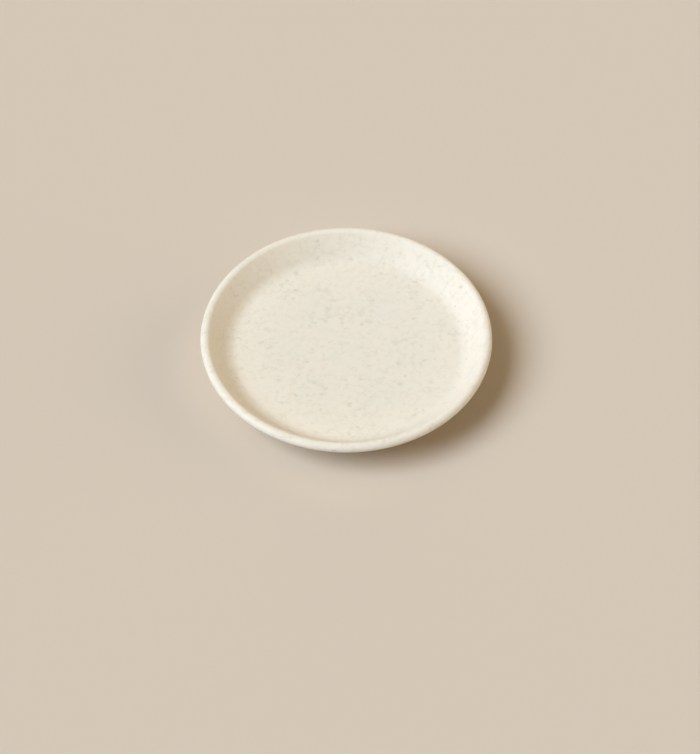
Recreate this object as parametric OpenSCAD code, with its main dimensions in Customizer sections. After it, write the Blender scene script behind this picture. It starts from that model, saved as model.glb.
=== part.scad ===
// Magnetic pin bowl: a shallow moulded dish whose foot ring hides a set of disc magnets.
// The axis of the bowl is +Z, and the bowl stands on its feet at z = 0.

/* [Dish] */
// Diameter over the rim
rim_d = 82; // [78:0.5:100]
// Diameter of the flat floor inside the bowl
floor_d = 62.4; // [56:0.2:64]
// Depth of the bowl, from the top of the rim down to the floor
bowl_depth = 6.4; // [5:0.1:9]
// Thickness of the dish, which the rim rounds over
wall_t = 2.8; // [2.4:0.1:3.4]
// Radius of the cove between the floor and the wall
cove_r = 4.6; // [2:0.2:6]

/* [Foot ring] */
// Outer diameter of the foot ring
ring_d = 58.6; // [56:0.2:60]
// Thickness of the foot ring beside the base cover
ring_wall = 1.8; // [1.4:0.1:2.2]
// Width of the ledge that the base cover seats against
ledge_w = 1.2; // [0.8:0.1:1.6]
// Fillet between the foot ring and the underside of the dish
ring_fillet = 1.6; // [0.8:0.1:2]
// Rounding of the foot ring's lower outer edge
ring_round = 0.6; // [0.3:0.1:0.9]
// Chamfer that leads the base cover into the foot ring
mouth_chamfer = 0.3; // [0.1:0.1:0.5]

/* [Magnets] */
// Magnets in the ring around the middle one
ring_magnets = 6; // [3:1:6]
// Diameter of a disc magnet
magnet_d = 12; // [8:0.5:13]
// Thickness of a disc magnet
magnet_t = 2; // [1.5:0.5:3]
// Chamfer on both edges of a magnet
magnet_chamfer = 0.2; // [0.1:0.05:0.4]
// Space between the collars of the ring magnets and the foot ring
magnet_margin = 2.2; // [1:0.1:4]
// Radial clearance between a magnet and its pocket
magnet_gap = 0.1; // [0.05:0.05:0.3]
// Depth of a magnet pocket in the underside of the floor
pocket_depth = 1.2; // [0.6:0.1:1.4]
// Wall of the collar round a magnet pocket
collar_t = 1; // [0.8:0.1:1.4]
// Chamfer that leads a magnet into its collar
collar_chamfer = 0.3; // [0.1:0.1:0.5]
// Thickness of the ribs that join the collars to the foot ring
rib_t = 1.2; // [0.8:0.1:2]

/* [Keeper plate and foam] */
// Thickness of the steel keeper plate
keeper_t = 0.6; // [0.4:0.1:1]
// Radial clearance between the keeper plate and the foot ring
keeper_gap = 0.3; // [0.1:0.1:0.6]
// Thickness of the foam pad, which is the height of the pressing rim too
foam_t = 1; // [0.6:0.1:2]
// Radial clearance between the foam pad and the pressing rim
foam_gap = 0.2; // [0.1:0.1:0.5]

/* [Base cover] */
// Thickness of the base cover
cover_t = 1.6; // [1.4:0.1:2.4]
// How far the base cover stands back inside the foot ring
cover_inset = 0.3; // [0.1:0.1:0.8]
// Radial clearance between the base cover and the foot ring
cover_gap = 0.15; // [0.05:0.05:0.3]
// Chamfer on the base cover's lower edge
cover_chamfer = 0.3; // [0.1:0.1:0.4]
// Width of the pressing rim that holds the keeper plate up
press_w = 1; // [0.6:0.1:1.6]
// Step from the base cover's edge to the pressing rim
press_step = 2; // [1.8:0.1:3]
// Radius of the snap bead round the base cover
bead_r = 0.35; // [0.2:0.05:0.45]
// Clearance all round the snap bead in its groove
bead_gap = 0.1; // [0.05:0.05:0.2]

/* [Feet] */
// Number of feet
foot_count = 4; // [3:1:6]
// Diameter of a foot
foot_d = 8; // [6:0.5:10]
// How far the feet lift the foot ring off the table
foot_lift = 0.8; // [0.4:0.1:2]
// Depth of the recess that a foot is stuck in
foot_recess = 0.5; // [0.3:0.1:0.8]
// Radial clearance between a foot and its recess
foot_gap = 0.2; // [0.1:0.05:0.4]
// Rounding of a foot's lower edge
foot_round = 0.6; // [0.2:0.1:0.8]
// Space between the feet and the edge of the base cover
foot_margin = 4.85; // [3:0.05:6]

/* [Hidden] */
$fn = 128;
dish_color = "antiquewhite";
cover_color = "linen";
magnet_color = "silver";
keeper_color = "lightslategray";
foam_color = "dimgray";
foot_color = "gainsboro";

// Heights, worked out from the table up through the pieces that stand on each other
ring_z = foot_lift;
cover_z = ring_z + cover_inset;
ledge_z = cover_z + cover_t;
keeper_z = ledge_z + foam_t;
magnet_z = keeper_z + keeper_t;
under_z = magnet_z + magnet_t - pocket_depth;
floor_z = under_z + wall_t;
rim_z = floor_z + bowl_depth;

// Radii
floor_r = floor_d / 2;
ring_r = ring_d / 2;
mouth_r = ring_r - ring_wall;
cavity_r = mouth_r - ledge_w;
magnet_r = magnet_d / 2;
pocket_r = magnet_r + magnet_gap;
collar_r = pocket_r + collar_t;
magnet_ring_r = cavity_r - magnet_margin - collar_r;
keeper_r = cavity_r - keeper_gap;
cover_r = mouth_r - cover_gap;
press_r = cover_r - press_step;
foam_r = press_r - press_w - foam_gap;
foot_r = foot_d / 2;
foot_ring_r = cover_r - foot_margin - foot_r;

// Overlaps: how far a cut runs past a face, how deep joined pieces reach into each other, and
// how deep the wall cuts across the bend below it. Faces that only touch would leave slivers.
skim = 0.5;
bite = wall_t / 2;
graze = 0.001;

// The wall runs straight from the bend round the cove up to the rim.
// A mould needs a wall no steeper than this, so a short wall leaves less room for the cove.
steepest = 80;
rim_r = wall_t / 2;
rim_centre = [rim_d / 2 - rim_r, rim_z - rim_r];
spread = rim_centre - [floor_r, floor_z];
cove_room = (spread.x * sin(steepest) - spread.y * cos(steepest) - rim_r) / (1 - cos(steepest));
cove = min(cove_r, cove_room);
bend_centre = [floor_r, floor_z + cove];
bend_r = cove + rim_r;

// The wall's middle line ends at the centre of the rim, and passes that of the bend at line_r
reach = rim_centre - bend_centre;
line_r = bend_r - graze;
wall_slope = atan2(reach.y, reach.x) + asin(line_r / norm(reach));
wall_run = sqrt(norm(reach) ^ 2 - line_r ^ 2);
bend_angle = wall_slope + acos(line_r / bend_r);

magnet_nodes = [for (i = [1 : ring_magnets + 1]) str("magnet_", i)];
foot_nodes = [for (i = [1 : foot_count]) str("foot_", i)];

// Place of each magnet: the first is in the middle, the rest stand in a ring round it
function magnet_place(i) = i == 1 ? [0, 0] : magnet_ring_r * unit((i - 2) * 360 / ring_magnets);
function foot_place(i) = foot_ring_r * unit((i - 0.5) * 360 / foot_count);
function unit(a) = [cos(a), sin(a)];

// A quarter of a disc, in the corner where x and y are positive
module quarter_disc(r) {
    intersection() {
        circle(r);
        square(r);
    }
}

// A fillet that fills the corner of the two axes, with its hollow side away from them
module fillet_profile(r) {
    difference() {
        square(r);
        translate([r, r]) circle(r);
    }
}

// The band of wall that bends from the floor up to the slope, about the centre of the cove
module bend_profile() {
    outer = cove + wall_t;
    intersection() {
        translate([0, -outer]) square([outer, outer]);
        rotate(bend_angle) translate([-outer, -outer]) square([outer, outer]);
        difference() {
            circle(outer);
            circle(cove);
        }
    }
}

// The sloping wall, with the rim as a full round at its end
module slope_profile() {
    rotate(wall_slope) {
        translate([0, -line_r - rim_r]) square([wall_run, wall_t]);
        translate([wall_run, -line_r])
            intersection() {
                circle(rim_r);
                translate([0, -rim_r]) square([rim_r, wall_t]);
            }
    }
}

module bowl_profile() {
    translate([0, under_z]) square([floor_r, wall_t]);
    translate(bend_centre) {
        bend_profile();
        slope_profile();
    }
}

module ring_profile() {
    flat_w = ring_wall + ledge_w - ring_round;
    translate([cavity_r, ring_z]) square([flat_w, under_z + bite - ring_z]);
    translate([cavity_r, ring_z + ring_round])
        square([ring_wall + ledge_w, under_z + bite - ring_z - ring_round]);
    translate([ring_r - ring_round, ring_z + ring_round]) mirror([0, 1]) quarter_disc(ring_round);
    translate([ring_r, under_z]) mirror([0, 1]) fillet_profile(ring_fillet);
}

// What the base cover needs inside the ring: its seat, the lead-in and the groove for its bead
module mouth_profile() {
    translate([0, ring_z - skim]) square([mouth_r, ledge_z - ring_z + skim]);
    polygon([
        [mouth_r - skim, ring_z - skim],
        [mouth_r + mouth_chamfer + skim, ring_z - skim],
        [mouth_r - skim, ring_z + mouth_chamfer + skim]
    ]);
    translate([cover_r, bead_z()]) circle(bead_r + bead_gap);
}

function bead_z() = cover_z + cover_t / 2;

module at_magnets() {
    for (i = [1 : ring_magnets + 1]) translate(magnet_place(i)) children();
}

module collars() {
    at_magnets() translate([0, 0, magnet_z]) cylinder(h = under_z + bite - magnet_z, r = collar_r);
    translate([0, 0, magnet_z])
        for (i = [2 : ring_magnets + 1])
            rotate((i - 2) * 360 / ring_magnets)
                translate([pocket_r, -rib_t / 2, 0])
                    cube([cavity_r + ledge_w / 2 - pocket_r, rib_t, under_z + bite - magnet_z]);
}

module pockets() {
    at_magnets() {
        translate([0, 0, magnet_z - skim])
            cylinder(h = magnet_t + skim, r = pocket_r);
        translate([0, 0, magnet_z])
            cylinder(h = collar_chamfer, r1 = pocket_r + collar_chamfer, r2 = pocket_r);
    }
}

module dish() {
    color(dish_color)
        difference() {
            union() {
                rotate_extrude()
                    difference() {
                        union() {
                            bowl_profile();
                            ring_profile();
                        }
                        mouth_profile();
                    }
                collars();
            }
            pockets();
        }
}

module magnet(i) {
    c = magnet_chamfer;
    color(magnet_color)
        translate(magnet_place(i)) translate([0, 0, magnet_z])
            rotate_extrude()
                polygon([
                    [0, 0], [magnet_r - c, 0], [magnet_r, c],
                    [magnet_r, magnet_t - c], [magnet_r - c, magnet_t], [0, magnet_t]
                ]);
}

module keeper_plate() {
    color(keeper_color)
        translate([0, 0, keeper_z]) cylinder(h = keeper_t, r = keeper_r);
}

module foam_pad() {
    color(foam_color)
        translate([0, 0, ledge_z]) cylinder(h = foam_t, r = foam_r);
}

module cover_profile() {
    polygon([
        [0, cover_z], [cover_r - cover_chamfer, cover_z], [cover_r, cover_z + cover_chamfer],
        [cover_r, ledge_z], [0, ledge_z]
    ]);
    translate([press_r - press_w, ledge_z - skim]) square([press_w, foam_t + skim]);
    translate([cover_r, bead_z()]) circle(bead_r);
}

module base_cover() {
    color(cover_color)
        difference() {
            rotate_extrude() cover_profile();
            for (i = [1 : foot_count])
                translate(foot_place(i)) translate([0, 0, cover_z - skim])
                    cylinder(h = foot_recess + skim, r = foot_r + foot_gap);
        }
}

module foot(i) {
    height = cover_z + foot_recess;
    color(foot_color)
        translate(foot_place(i))
            rotate_extrude() {
                square([foot_r - foot_round, height]);
                translate([0, foot_round]) square([foot_r, height - foot_round]);
                translate([foot_r - foot_round, foot_round]) mirror([0, 1]) quarter_disc(foot_round);
            }
}

dish();
for (i = [1 : ring_magnets + 1]) magnet(i);
keeper_plate();
foam_pad();
base_cover();
for (i = [1 : foot_count]) foot(i);
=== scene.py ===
# Looks of the magnetic pin bowl: a shallow dish of cream, fibre-filled plastic on a pale table.
# Everything is in metres, +Z up, with the axis of the bowl at the origin.
import math

import bpy
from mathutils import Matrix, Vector


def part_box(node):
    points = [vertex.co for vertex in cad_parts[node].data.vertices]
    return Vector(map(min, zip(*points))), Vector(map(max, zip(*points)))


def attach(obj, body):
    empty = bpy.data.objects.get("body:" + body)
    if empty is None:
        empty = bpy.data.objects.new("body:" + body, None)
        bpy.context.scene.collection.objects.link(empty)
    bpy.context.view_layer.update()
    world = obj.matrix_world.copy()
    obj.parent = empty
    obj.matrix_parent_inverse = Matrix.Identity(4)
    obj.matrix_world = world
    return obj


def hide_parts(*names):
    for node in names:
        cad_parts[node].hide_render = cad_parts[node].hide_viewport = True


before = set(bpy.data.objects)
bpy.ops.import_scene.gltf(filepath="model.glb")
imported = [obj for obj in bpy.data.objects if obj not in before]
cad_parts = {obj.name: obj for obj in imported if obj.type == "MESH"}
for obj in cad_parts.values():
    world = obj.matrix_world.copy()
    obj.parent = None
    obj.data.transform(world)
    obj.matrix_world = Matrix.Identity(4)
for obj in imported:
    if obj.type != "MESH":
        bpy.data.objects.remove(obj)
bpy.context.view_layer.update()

MM = 0.001

# The photograph's size in pixels, its focal length, and the pixel where the rim's middle lies
PHOTO_W = 700
PHOTO_H = 754
FOCAL_PX = 4830
RIM_MIDDLE_PX = (346.3, 338.0)

# The camera: its tilt below the horizon, its distance along the view, and its film's longer side
CAMERA_TILT = math.radians(50.15)
CAMERA_TO_RIM = 1.358
FILM_MM = 36

# The bowl
WALL_T = 2.8 * MM
BOWL_DEPTH = 6.4 * MM
FLOOR_R = 31.2 * MM
COVE_R = 4.6 * MM

# The foot ring, with the ledge and the groove that hold the base cover
RING_R = 29.3 * MM
RING_WALL = 1.8 * MM
RING_FILLET = 1.6 * MM
RING_ROUND = 0.6 * MM
LEDGE_W = 1.2 * MM
MOUTH_R = RING_R - RING_WALL
CAVITY_R = MOUTH_R - LEDGE_W
MOUTH_CHAMFER = 0.3 * MM
GROOVE_GAP = 0.1 * MM
GROOVE_STEPS = 8

# The seats of the magnets under the floor. The ribs between them end a hair inside the collars, so
# that no two faces lie in one plane.
RING_MAGNETS = 6
MAGNET_GAP = 0.1 * MM
POCKET_DEPTH = 1.2 * MM
COLLAR_T = 1 * MM
COLLAR_CHAMFER = 0.3 * MM
RIB_T = 1.2 * MM
RIB_STEP = 0.02 * MM

# The base cover, with its pressing rim and its snap bead
COVER_T = 1.6 * MM
COVER_CHAMFER = 0.3 * MM
PRESS_STEP = 2 * MM
PRESS_W = 1 * MM
PRESS_ROUND = 0.1 * MM
BEAD_R = 0.35 * MM
BEAD_STEPS = 12

# The feet and their recesses. The first foot stands midway between +X and +Y.
FEET = 4
FIRST_FOOT = math.pi / FEET
FOOT_ROUND = 0.6 * MM
FOOT_TOP_ROUND = 0.05 * MM
FOOT_RECESS = 0.5 * MM
FOOT_GAP = 0.2 * MM

# Edges of the magnets, the keeper plate and the foam pad, whose side bulges
MAGNET_EDGE = 0.2 * MM
KEEPER_EDGE = 0.12 * MM
FOAM_EDGE = 0.2 * MM
FOAM_BULGE = 0.12 * MM
FOAM_BULGE_ROUND = 0.4 * MM

# How far a cutter reaches out of the body that it cuts
CUTTER_REACH = 0.5 * MM

# Steps round the axis and in each rounded corner, the angle that counts as an edge, and the
# distance under which two points become one
STEPS_ROUND = 256
SMALL_STEPS_ROUND = 64
STEPS_PER_CORNER = 10
SHARP_ANGLE = math.radians(25)
WELD = 0.002 * MM


def half_width(node):
    """Outer radius of a CAD node, about its own axis"""
    low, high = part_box(node)
    return (high.x - low.x) / 2


def off_axis(node):
    """Distance of a CAD node's own axis from the axis of the bowl"""
    low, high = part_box(node)
    return ((low + high) / 2).xy.length


# Node trees

def add(tree, kind, inputs=None, **settings):
    """A new node. An input is given by name or number, as a value or as another node's output."""
    node = tree.nodes.new(kind)
    for name, value in settings.items():
        setattr(node, name, value)
    for key, value in (inputs or {}).items():
        if isinstance(value, bpy.types.NodeSocket):
            tree.links.new(value, node.inputs[key])
        else:
            node.inputs[key].default_value = value
    return node


def math_node(tree, operation, a, b=0.0):
    """The result of an operation on two numbers"""
    return add(tree, "ShaderNodeMath", {0: a, 1: b}, operation=operation).outputs[0]


def geometry_tree(name, inputs):
    """A geometry tree with its named inputs, and the sockets that give them"""
    tree = bpy.data.node_groups.new(name, "GeometryNodeTree")
    tree.interface.new_socket("Geometry", in_out="INPUT", socket_type="NodeSocketGeometry")
    for label, kind in inputs.items():
        tree.interface.new_socket(label, in_out="INPUT", socket_type="NodeSocket" + kind)
    tree.interface.new_socket("Geometry", in_out="OUTPUT", socket_type="NodeSocketGeometry")
    return tree, tree.nodes.new("NodeGroupInput").outputs


def end_tree(tree, geometry, material):
    """Ends a geometry tree in real geometry that has its material"""
    real = add(tree, "GeometryNodeRealizeInstances", {0: geometry})
    painted = add(tree, "GeometryNodeSetMaterial", {"Geometry": real.outputs[0], "Material": material})
    add(tree, "NodeGroupOutput", {0: painted.outputs[0]})


def turning_tree():
    """Turns an outline in the XZ plane about Z, clockwise, so that an outline that is drawn upwards
    gets faces that point outwards. Each of its corners is first rounded by its own radius."""
    tree, given = geometry_tree(
        "turned_piece",
        {"Steps round": "Int", "Steps per corner": "Int", "Weld": "Float", "Material": "Material"},
    )
    outline = add(tree, "GeometryNodeMeshToCurve", {"Mesh": given["Geometry"]})
    radius = add(tree, "GeometryNodeInputNamedAttribute", {"Name": "rounding"}, data_type="FLOAT")
    rounded = add(
        tree, "GeometryNodeFilletCurve",
        {
            "Curve": outline.outputs[0], "Radius": radius.outputs["Attribute"],
            "Limit Radius": True, "Count": given["Steps per corner"],
        },
        mode="POLY",
    )
    points = add(tree, "GeometryNodeCurveToPoints", {"Curve": rounded.outputs[0]}, mode="EVALUATED")
    size = add(
        tree, "GeometryNodeAttributeDomainSize", {"Geometry": points.outputs[0]},
        component="POINTCLOUD",
    )

    # A grid has a row for each point of the outline and a column for each step round the axis
    columns = math_node(tree, "ADD", given["Steps round"], 1.0)
    grid = add(
        tree, "GeometryNodeMeshGrid",
        {"Vertices X": size.outputs["Point Count"], "Vertices Y": columns},
    )
    index = add(tree, "GeometryNodeInputIndex").outputs[0]
    row = math_node(tree, "FLOOR", math_node(tree, "DIVIDE", index, columns))
    column = math_node(tree, "MODULO", index, columns)
    share = math_node(tree, "DIVIDE", column, given["Steps round"])
    angle = math_node(tree, "MULTIPLY", share, -math.tau)
    place = add(tree, "GeometryNodeInputPosition").outputs[0]
    at_row = add(
        tree, "GeometryNodeSampleIndex",
        {"Geometry": points.outputs[0], "Value": place, "Index": row},
        data_type="FLOAT_VECTOR",
    )
    turned = add(
        tree, "ShaderNodeVectorRotate",
        {"Vector": at_row.outputs[0], "Angle": angle},
        rotation_type="Z_AXIS",
    )
    body = add(
        tree, "GeometryNodeSetPosition", {"Geometry": grid.outputs[0], "Position": turned.outputs[0]}
    )
    closed = add(
        tree, "GeometryNodeMergeByDistance", {"Geometry": body.outputs[0], "Distance": given["Weld"]}
    )
    smooth = add(tree, "GeometryNodeSetShadeSmooth", {"Geometry": closed.outputs[0]})
    end_tree(tree, smooth.outputs[0], given["Material"])
    return tree


def ring_tree(name, operation=None):
    """Sets copies of an object on a ring, and one in the middle if asked. They are joined to the
    geometry that comes in, cut from it, or stand alone where there is no operation."""
    tree, given = geometry_tree(
        name,
        {
            "Copied": "Object", "Count": "Int", "Ring radius": "Float", "First angle": "Float",
            "Middle": "Bool", "Weld": "Float", "Material": "Material",
        },
    )
    copied = add(tree, "GeometryNodeObjectInfo", {"Object": given["Copied"]}).outputs["Geometry"]
    ring = add(
        tree, "GeometryNodeMeshCircle", {"Vertices": given["Count"], "Radius": given["Ring radius"]}
    ).outputs[0]
    index = add(tree, "GeometryNodeInputIndex").outputs[0]
    share = math_node(tree, "DIVIDE", index, given["Count"])
    outwards = add(tree, "ShaderNodeCombineXYZ", {"Z": math_node(tree, "MULTIPLY", share, math.tau)})
    copies = add(
        tree, "GeometryNodeInstanceOnPoints",
        {"Points": ring, "Instance": copied, "Rotation": outwards.outputs[0]},
    ).outputs[0]
    first = add(tree, "ShaderNodeCombineXYZ", {"Z": given["First angle"]}).outputs[0]
    set_round = add(tree, "GeometryNodeTransform", {"Geometry": copies, "Rotation": first}).outputs[0]
    centre = add(
        tree, "GeometryNodeSwitch", {"Switch": given["Middle"], "True": copied}, input_type="GEOMETRY"
    ).outputs[0]
    join = add(tree, "GeometryNodeJoinGeometry")
    tree.links.new(set_round, join.inputs[0])
    tree.links.new(centre, join.inputs[0])
    result = add(tree, "GeometryNodeRealizeInstances", {0: join.outputs[0]}).outputs[0]
    if operation == "UNION":
        both = add(tree, "GeometryNodeMeshBoolean", operation="UNION", solver="EXACT")
        tree.links.new(given["Geometry"], both.inputs["Mesh 2"])
        tree.links.new(result, both.inputs["Mesh 2"])
        result = both.outputs[0]
    if operation == "DIFFERENCE":
        result = add(
            tree, "GeometryNodeMeshBoolean",
            {"Mesh 1": given["Geometry"], "Mesh 2": result},
            operation="DIFFERENCE", solver="EXACT",
        ).outputs[0]
    closed = add(tree, "GeometryNodeMergeByDistance", {"Geometry": result, "Distance": given["Weld"]})
    end_tree(tree, closed.outputs[0], given["Material"])
    return tree


def use_tree(piece, tree, **values):
    """Puts a tree on a piece, with the weld that all share. An underscore in a value's name stands
    for a space."""
    sockets = {
        item.name: item.identifier
        for item in tree.interface.items_tree
        if item.in_out == "INPUT"
    }
    modifier = piece.modifiers.new(tree.name, "NODES")
    modifier.node_group = tree
    modifier[sockets["Weld"]] = WELD
    for label, value in values.items():
        modifier[sockets[label.replace("_", " ")]] = value


TURNING = turning_tree()
JOINED_RING = ring_tree("joined_ring", "UNION")
CUT_RING = ring_tree("cut_ring", "DIFFERENCE")
RING_OF_COPIES = ring_tree("ring_of_copies")


# Making, finishing and removing pieces

def new_piece(name, corners=(), edges=(), faces=()):
    """An object in the scene with a mesh of its own"""
    mesh = bpy.data.meshes.new(name)
    mesh.from_pydata(corners, edges, faces)
    piece = bpy.data.objects.new(name, mesh)
    bpy.context.scene.collection.objects.link(piece)
    return piece


def turn(name, corners, material, steps=STEPS_ROUND):
    """A turned piece, not baked yet, from its corners: (radius, height, rounding)"""
    points = [(radius, 0, height) for radius, height, rounding in corners]
    piece = new_piece(name, points, [(i, i + 1) for i in range(len(points) - 1)])
    rounding = piece.data.attributes.new("rounding", "FLOAT", "POINT")
    rounding.data.foreach_set("value", [corner[2] for corner in corners])
    use_tree(
        piece, TURNING, Steps_round=steps, Steps_per_corner=STEPS_PER_CORNER, Material=material
    )
    return piece


def bake(piece):
    """Makes what the trees built the piece's own plain mesh"""
    evaluated = piece.evaluated_get(bpy.context.evaluated_depsgraph_get())
    mesh = bpy.data.meshes.new_from_object(evaluated)
    piece.modifiers.clear()
    piece.data = mesh
    mesh.name = piece.name
    mesh.set_sharp_from_angle(angle=SHARP_ANGLE)


def finish_piece(piece, slot, *nodes):
    """Bakes a piece, hides the CAD nodes that it stands for, and hangs it under the root body"""
    bake(piece)
    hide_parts(*nodes)
    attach(piece, "root")


def remove(*objects):
    """Removes objects that were only copied or cut with"""
    for thing in objects:
        bpy.data.objects.remove(thing)


# Outlines: lists of corners (radius, height, rounding), from the axis below to the axis above

def arc(centre, radius, start, end, steps):
    """Points on an arc about (radius, height) centre, from angle start to end in degrees"""
    angles = [math.radians(start + (end - start) * i / steps) for i in range(steps + 1)]
    return [(centre[0] + radius * math.cos(a), centre[1] + radius * math.sin(a), 0) for a in angles]


def disc_outline(radius, low, high, edge):
    """A flat disc with rounded edges"""
    return [(0, low, 0), (radius, low, edge), (radius, high, edge), (0, high, 0)]


def cover_radius():
    """Radius of the base cover beside its snap bead"""
    return half_width("base_cover") - BEAD_R


def dish_outline():
    """The coved bowl, its full round rim and its foot ring, with the seat of the base cover"""
    low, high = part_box("dish")
    rim_r = WALL_T / 2
    floor_z = high.z - BOWL_DEPTH
    under_z = floor_z - WALL_T
    ledge_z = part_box("foam_pad")[0].z

    # The wall's middle line runs from the bend about the cove's centre to the centre of the rim
    bend_r = COVE_R + rim_r
    rim = Vector((half_width("dish") - rim_r, high.z - rim_r))
    reach = rim - Vector((FLOOR_R, floor_z + COVE_R))
    slope = math.atan2(reach.y, reach.x) + math.asin(bend_r / reach.length)
    along = Vector((math.cos(slope), math.sin(slope))) * rim_r
    inward = Vector((-math.sin(slope), math.cos(slope))) * rim_r

    # How far past the start of its rounding a corner at the foot of the wall lies, in its own radii
    to_corner = math.tan(slope / 2)

    # The groove follows the snap bead at a distance, and opens into the mouth of the ring
    bead = (cover_radius(), ledge_z - COVER_T / 2)
    groove_r = BEAD_R + GROOVE_GAP
    opening = math.degrees(math.acos((MOUTH_R - bead[0]) / groove_r))
    return [
        (0, under_z, 0),
        (CAVITY_R, under_z, 0),
        (CAVITY_R, ledge_z, 0),
        (MOUTH_R, ledge_z, 0),
        *arc(bead, groove_r, opening, -opening, GROOVE_STEPS),
        (MOUTH_R, low.z + MOUTH_CHAMFER, 0),
        (MOUTH_R + MOUTH_CHAMFER, low.z, 0),
        (RING_R, low.z, RING_ROUND),
        (RING_R, under_z, RING_FILLET),
        (FLOOR_R + (COVE_R + WALL_T) * to_corner, under_z, COVE_R + WALL_T),
        (*(rim + along - inward), rim_r),
        (*(rim + along + inward), rim_r),
        (FLOOR_R + COVE_R * to_corner, floor_z, COVE_R),
        (0, floor_z, 0),
    ]


def cover_outline():
    """The base cover, with a snap bead round it and a pressing rim on top"""
    low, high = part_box("base_cover")
    cover_r = cover_radius()
    ledge_z = low.z + COVER_T
    press_r = cover_r - PRESS_STEP
    bead = (cover_r, low.z + COVER_T / 2)
    return [
        (0, low.z, 0),
        (cover_r - COVER_CHAMFER, low.z, 0),
        (cover_r, low.z + COVER_CHAMFER, 0),
        *arc(bead, BEAD_R, -90, 90, BEAD_STEPS),
        (cover_r, ledge_z, 0),
        (press_r, ledge_z, 0),
        (press_r, high.z, PRESS_ROUND),
        (press_r - PRESS_W, high.z, PRESS_ROUND),
        (press_r - PRESS_W, ledge_z, 0),
        (0, ledge_z, 0),
    ]


# Pieces

def rib(name, inner_r, outer_r, low, high):
    """A straight rib that runs out along X"""
    half = RIB_T / 2
    corners = [
        (x, y, z)
        for z in (low, high)
        for x, y in ((inner_r, -half), (outer_r, -half), (outer_r, half), (inner_r, half))
    ]
    sides = [(i, (i + 1) % 4, (i + 1) % 4 + 4, i + 4) for i in range(4)]
    return new_piece(name, corners, faces=[(3, 2, 1, 0), (4, 5, 6, 7), *sides])


def make_dish(material):
    """The dish, with the collars, ribs and pockets that hold the magnets under its floor"""
    low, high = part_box("magnet_1")
    under_z = high.z - POCKET_DEPTH
    joint_z = under_z + WALL_T / 2
    pocket_r = half_width("magnet_1") + MAGNET_GAP
    collar_r = pocket_r + COLLAR_T
    ring_r = off_axis("magnet_2")

    dish = turn("dish_shell", dish_outline(), material)
    collar = turn(
        "collar", disc_outline(collar_r, low.z, joint_z, 0), material, SMALL_STEPS_ROUND
    )
    pocket = turn(
        "pocket",
        [
            (0, low.z - CUTTER_REACH, 0),
            (pocket_r + COLLAR_CHAMFER + CUTTER_REACH, low.z - CUTTER_REACH, 0),
            (pocket_r, low.z + COLLAR_CHAMFER, 0),
            (pocket_r, high.z, 0),
            (0, high.z, 0),
        ],
        material, SMALL_STEPS_ROUND,
    )
    spoke = rib(
        "rib", pocket_r - ring_r, CAVITY_R + LEDGE_W / 2 - ring_r,
        low.z + RIB_STEP, joint_z - RIB_STEP,
    )
    ring = {"Count": RING_MAGNETS, "Ring_radius": ring_r, "First_angle": 0.0, "Material": material}
    use_tree(dish, JOINED_RING, Copied=collar, Middle=True, **ring)
    use_tree(dish, JOINED_RING, Copied=spoke, Middle=False, **ring)
    use_tree(dish, CUT_RING, Copied=pocket, Middle=True, **ring)
    finish_piece(dish, "dish", "dish")
    remove(collar, pocket, spoke)


def make_cover(material):
    """The base cover, with its recesses for the feet"""
    low_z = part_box("base_cover")[0].z
    recess = turn(
        "recess",
        disc_outline(half_width("foot_1") + FOOT_GAP, low_z - CUTTER_REACH, low_z + FOOT_RECESS, 0),
        material, SMALL_STEPS_ROUND,
    )
    cover = turn("base_plate", cover_outline(), material)
    use_tree(
        cover, CUT_RING, Copied=recess, Count=FEET, Ring_radius=off_axis("foot_1"),
        First_angle=FIRST_FOOT, Middle=False, Material=material,
    )
    finish_piece(cover, "cover", "base_cover")
    remove(recess)


def make_magnets(material):
    """The magnets, six on a ring and one in the middle"""
    low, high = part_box("magnet_1")
    magnet = turn(
        "magnet", disc_outline(half_width("magnet_1"), low.z, high.z, MAGNET_EDGE), material,
        SMALL_STEPS_ROUND,
    )
    magnets = new_piece("magnets")
    use_tree(
        magnets, RING_OF_COPIES, Copied=magnet, Count=RING_MAGNETS, Ring_radius=off_axis("magnet_2"),
        First_angle=0.0, Middle=True, Material=material,
    )
    finish_piece(magnets, "magnet", *(f"magnet_{i + 1}" for i in range(RING_MAGNETS + 1)))
    remove(magnet)


def make_keeper(material):
    """The thin steel disc behind the magnets"""
    low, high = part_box("keeper_plate")
    keeper = turn(
        "keeper_disc", disc_outline(half_width("keeper_plate"), low.z, high.z, KEEPER_EDGE), material
    )
    finish_piece(keeper, "keeper", "keeper_plate")


def make_foam(material):
    """The foam pad, pressed between the keeper plate and the base cover, so that its side bulges"""
    low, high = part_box("foam_pad")
    radius = half_width("foam_pad")
    middle_z = (low.z + high.z) / 2
    pad = turn(
        "foam_disc",
        [
            (0, low.z, 0),
            (radius - FOAM_BULGE, low.z, FOAM_EDGE),
            (radius + FOAM_BULGE, middle_z, FOAM_BULGE_ROUND),
            (radius - FOAM_BULGE, high.z, FOAM_EDGE),
            (0, high.z, 0),
        ],
        material,
    )
    finish_piece(pad, "foam", "foam_pad")


def make_feet(material):
    """The stick-on feet, rounder below than above"""
    low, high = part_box("foot_1")
    radius = half_width("foot_1")
    foot = turn(
        "foot",
        [
            (0, low.z, 0),
            (radius, low.z, FOOT_ROUND),
            (radius, high.z, FOOT_TOP_ROUND),
            (0, high.z, 0),
        ],
        material, SMALL_STEPS_ROUND,
    )
    feet = new_piece("feet")
    use_tree(
        feet, RING_OF_COPIES, Copied=foot, Count=FEET, Ring_radius=off_axis("foot_1"),
        First_angle=FIRST_FOOT, Middle=False, Material=material,
    )
    finish_piece(feet, "foot", *(f"foot_{i + 1}" for i in range(FEET)))
    remove(foot)


# Materials

CREAM = (0.866, 0.811, 0.702, 1)

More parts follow.
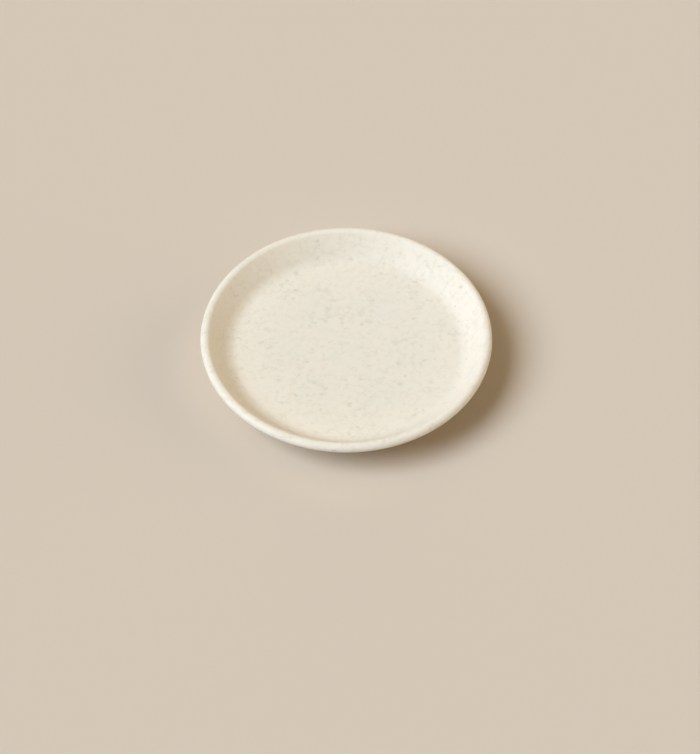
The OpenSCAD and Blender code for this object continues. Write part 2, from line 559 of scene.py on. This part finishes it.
# Light gets into the plastic and comes out again a little way off
THROUGH_LIT = {
    "Subsurface_Weight": 1.0, "Subsurface_Scale": 1 * MM, "Subsurface_Radius": (1.9, 1.8, 1.7),
}

# Plant matter in the plastic: its size in millimetres along X, Y and Z, the level of noise above
# which it shows, its strength and its colour
BRAN = {"size": (1.5, 1.5, 1.5), "above": 0.42, "strength": 0.16, "colour": (0.48, 0.44, 0.31, 1)}
HUSK = {"size": (2.2, 1.7, 1.7), "above": 0.62, "strength": 0.2, "colour": (0.38, 0.345, 0.23, 1)}
STRAW = {"size": (5, 1.3, 1.3), "above": 0.6, "strength": 0.16, "colour": (0.50, 0.455, 0.32, 1)}

# The level of noise at which a fleck shows in full, and the directions that the straw lies in, as
# turns about X, Y and Z in degrees
FULL_FLECK = 0.8
STRAW_TURNS = ((0, 0, 12), (20, 10, 74), (-15, 5, 131), (8, -20, 168))

# A darker and a lighter shade of each finish under the floor
NICKEL_SHADES = ((0.70, 0.68, 0.64, 1), (0.78, 0.765, 0.73, 1))
ZINC_SHADES = ((0.49, 0.50, 0.52, 1), (0.60, 0.61, 0.61, 1))
# The foam's darker shade is painted shade at the bottoms of its pores
FOAM_SHADES = ((0.045, 0.045, 0.05, 1), (0.10, 0.10, 0.11, 1))
SILICONE_SHADES = ((0.68, 0.67, 0.64, 1), (0.75, 0.74, 0.71, 1))


def principled(name, **values):
    """A new material, its tree and its shader, with the given values on the shader's own sockets. An
    underscore in a value's name stands for a space."""
    material = bpy.data.materials.new(name)
    material.use_nodes = True
    tree = material.node_tree
    shader = tree.nodes["Principled BSDF"]
    for label, value in values.items():
        shader.inputs[label.replace("_", " ")].default_value = value
    return material, tree, shader


def coordinates(tree, size=(1, 1, 1), turn_by=(0, 0, 0), shift=(0, 0, 0)):
    """Object coordinates, turned by so many degrees about X, Y and Z, then in units of so many
    millimetres along X, Y and Z, and then shifted"""
    place = add(tree, "ShaderNodeTexCoord").outputs["Object"]
    turned = add(
        tree, "ShaderNodeVectorRotate",
        {"Vector": place, "Rotation": [math.radians(a) for a in turn_by]},
        rotation_type="EULER_XYZ",
    ).outputs[0]
    scale = [1 / MM / s for s in size]
    return add(
        tree, "ShaderNodeMapping", {"Vector": turned, "Scale": scale, "Location": shift}
    ).outputs[0]


def noise(tree, place, scale=1.0, detail=2.0):
    """A noise with so many waves to a unit of its coordinates"""
    return add(
        tree, "ShaderNodeTexNoise", {"Vector": place, "Scale": scale, "Detail": detail}
    ).outputs[0]


def ramp(tree, value, low=0.3, high=0.7, to_low=0.0, to_high=1.0):
    """Maps a value smoothly from low..high, where most of a noise lies, to to_low..to_high"""
    return add(
        tree, "ShaderNodeMapRange",
        {"Value": value, 1: low, 2: high, 3: to_low, 4: to_high},
        interpolation_type="SMOOTHSTEP",
    ).outputs[0]


def mixed(tree, factor, a, b):
    """Two colours mixed"""
    return add(tree, "ShaderNodeMix", {0: factor, 6: a, 7: b}, data_type="RGBA").outputs[2]


def flecked(tree, colour, fleck, where=1.0, turn_by=(0, 0, 0), shift=(0, 0, 0)):
    """A colour with soft, uneven flecks of one kind on it, where a mask lets them show"""
    place = coordinates(tree, fleck["size"], turn_by, shift)
    mask = ramp(tree, noise(tree, place, detail=1.0), fleck["above"], FULL_FLECK)
    mask = math_node(tree, "MULTIPLY", mask, where)
    return mixed(tree, math_node(tree, "MULTIPLY", mask, fleck["strength"]), colour, fleck["colour"])


def set_relief(tree, shader, height, strength, depth):
    """Gives a surface a fine relief"""
    bump = add(tree, "ShaderNodeBump", {"Strength": strength, "Distance": depth, "Height": height})
    tree.links.new(bump.outputs[0], shader.inputs["Normal"])


def fibre_plastic(name, shift):
    """Satin cream plastic with fine plant matter in it, more of it in some places than in others"""
    material, tree, shader = principled(name, IOR=1.46, Specular_IOR_Level=0.3, **THROUGH_LIT)
    place = coordinates(tree, shift=shift)
    patchy = ramp(tree, noise(tree, place, scale=0.12), 0.35, 0.65, to_low=0.4)
    colour = flecked(tree, CREAM, BRAN, patchy, shift=shift)
    colour = flecked(tree, colour, HUSK, shift=shift[::-1])
    for turn_by in STRAW_TURNS:
        colour = flecked(tree, colour, STRAW, patchy, turn_by, shift)
    tree.links.new(colour, shader.inputs["Base Color"])
    grain = noise(tree, place, scale=1.4, detail=3.0)
    roughness = ramp(tree, grain, to_low=0.56, to_high=0.68)
    tree.links.new(roughness, shader.inputs["Roughness"])
    set_relief(tree, shader, grain, strength=0.35, depth=0.02 * MM)
    return material


def nickel_plate(name):
    """Bright nickel plate with faint barrel-plating marks"""
    material, tree, shader = principled(name, Metallic=1.0)
    place = coordinates(tree)
    cloud = ramp(tree, noise(tree, place, scale=0.5, detail=4.0))
    tree.links.new(mixed(tree, cloud, *NICKEL_SHADES), shader.inputs["Base Color"])
    marks = noise(tree, place, scale=6.0, detail=3.0)
    roughness = ramp(tree, marks, high=0.75, to_low=0.16, to_high=0.34)
    tree.links.new(roughness, shader.inputs["Roughness"])
    set_relief(tree, shader, marks, strength=0.2, depth=0.01 * MM)
    return material


def zinc_sheet(name):
    """Zinc-plated sheet steel, rolled along X"""
    material, tree, shader = principled(name, Metallic=1.0)
    cloud = ramp(tree, noise(tree, coordinates(tree), scale=0.25, detail=4.0))
    tree.links.new(mixed(tree, cloud, *ZINC_SHADES), shader.inputs["Base Color"])
    rolled = noise(tree, coordinates(tree, size=(14, 0.35, 0.35)), detail=3.0)
    roughness = ramp(tree, rolled, to_low=0.3, to_high=0.46)
    tree.links.new(roughness, shader.inputs["Roughness"])
    set_relief(tree, shader, rolled, strength=0.25, depth=0.01 * MM)
    return material


def foam(name):
    """Dark closed-cell foam, with painted shade in its pores: darkest in the middle of each pore,
    where its relief is lowest
    """
    material, tree, shader = principled(name, Roughness=0.95)
    cells = add(tree, "ShaderNodeTexVoronoi", {"Vector": coordinates(tree), "Scale": 3.2})
    pores = cells.outputs["Distance"]
    # Painted shade: the colour goes from the darker shade at the bottom of each pore to the lighter
    # shade on the cell walls
    depth = ramp(tree, pores, low=0.1, high=0.6)
    tree.links.new(mixed(tree, depth, *FOAM_SHADES), shader.inputs["Base Color"])
    set_relief(tree, shader, pores, strength=0.8, depth=0.08 * MM)
    return material


def silicone(name):
    """Frosted silicone"""
    material, tree, shader = principled(
        name, IOR=1.41, Subsurface_Weight=0.4, Subsurface_Scale=1 * MM
    )
    place = coordinates(tree)
    cloud = ramp(tree, noise(tree, place, scale=0.4))
    tree.links.new(mixed(tree, cloud, *SILICONE_SHADES), shader.inputs["Base Color"])
    frost = noise(tree, place, scale=9.0)
    roughness = ramp(tree, frost, to_low=0.48, to_high=0.66)
    tree.links.new(roughness, shader.inputs["Roughness"])
    set_relief(tree, shader, frost, strength=0.3, depth=0.01 * MM)
    return material


# Floor, light and camera

LINEN = (0.70, 0.605, 0.496, 1)
FLOOR_SIZE = 12

# Daylight from a window is cool, and what the room throws back is warm
COOL = (0.728, 0.847, 1)
WARM = (1, 0.814, 0.571)

# Each light: its azimuth, elevation and spread in degrees, its irradiance and its colour
LIGHTS = {
    "window": (30, 47.8, 36, 2.98, COOL),
    "wall_left": (0, 50, 60, 0.70, WARM),
    "wall_right": (180, 18, 60, 1.15, WARM),
    "wall_far": (270, 18, 60, 0.55, WARM),
    "ceiling": (0, 85, 60, 0.27, WARM),
}


def make_floor():
    """A plain matt floor"""
    bpy.ops.mesh.primitive_plane_add(size=FLOOR_SIZE)
    floor = bpy.context.object
    floor.name = "floor"
    paint = principled("floor_paint", Base_Color=LINEN, Roughness=1.0, Specular_IOR_Level=0.0)[0]
    floor.data.materials.append(paint)


def make_world():
    """Camera, glossy and transmitted rays see the floor's own colour, and no diffuse light comes
    from it"""
    world = bpy.data.worlds.new("studio")
    bpy.context.scene.world = world
    world.use_nodes = True
    tree = world.node_tree
    tree.nodes.clear()
    path = add(tree, "ShaderNodeLightPath").outputs
    seen = math_node(tree, "MAXIMUM", path["Is Camera Ray"], path["Is Glossy Ray"])
    seen = math_node(tree, "MAXIMUM", seen, path["Is Transmission Ray"])
    backdrop = add(tree, "ShaderNodeBackground", {"Color": LINEN, "Strength": seen})
    add(tree, "ShaderNodeOutputWorld", {0: backdrop.outputs[0]})


def soft_light(name, azimuth, elevation, spread, irradiance, colour):
    """A distant round patch of even light, so many degrees across. Azimuth turns from the left of the
    bowl towards the camera."""
    lamp = bpy.data.lights.new(name, "SUN")
    lamp.angle = math.radians(spread)
    lamp.energy = irradiance
    lamp.color = colour
    azimuth = math.radians(azimuth)
    elevation = math.radians(elevation)
    away = Vector((
        -math.cos(azimuth) * math.cos(elevation),
        -math.sin(azimuth) * math.cos(elevation),
        math.sin(elevation),
    ))
    light = bpy.data.objects.new(name, lamp)
    light.location = away
    light.rotation_euler = away.to_track_quat("Z", "Y").to_euler()
    bpy.context.scene.collection.objects.link(light)


def make_camera():
    """The camera, which looks down along +Y with the rim's middle at its pixel in the photograph"""
    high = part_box("dish")[1]
    rim_middle = Vector((0, 0, high.z - WALL_T / 2))
    forward = Vector((0, math.cos(CAMERA_TILT), -math.sin(CAMERA_TILT)))
    right = Vector((1, 0, 0))
    down = forward.cross(right)
    aside = (RIM_MIDDLE_PX[0] - PHOTO_W / 2) / FOCAL_PX
    below = (RIM_MIDDLE_PX[1] - PHOTO_H / 2) / FOCAL_PX
    view = bpy.data.cameras.new("camera")
    view.sensor_width = FILM_MM
    view.lens = FILM_MM * FOCAL_PX / PHOTO_H
    camera = bpy.data.objects.new("camera", view)
    camera.location = rim_middle - CAMERA_TO_RIM * (forward + aside * right + below * down)
    camera.rotation_euler = (math.pi / 2 - CAMERA_TILT, 0, 0)
    bpy.context.scene.collection.objects.link(camera)
    bpy.context.scene.camera = camera


make_camera()
make_floor()
make_world()
for light_name, light_values in LIGHTS.items():
    soft_light(light_name, *light_values)

# The cover's plastic is shifted, so that its flecks aren't the dish's
make_dish(fibre_plastic("dish_plastic", shift=(0, 0, 0)))
make_cover(fibre_plastic("cover_plastic", shift=(31, 17, 5)))
make_magnets(nickel_plate("nickel"))
make_keeper(zinc_sheet("zinc"))
make_foam(foam("foam"))
make_feet(silicone("silicone"))

bpy.context.scene.view_settings.view_transform = "Standard"
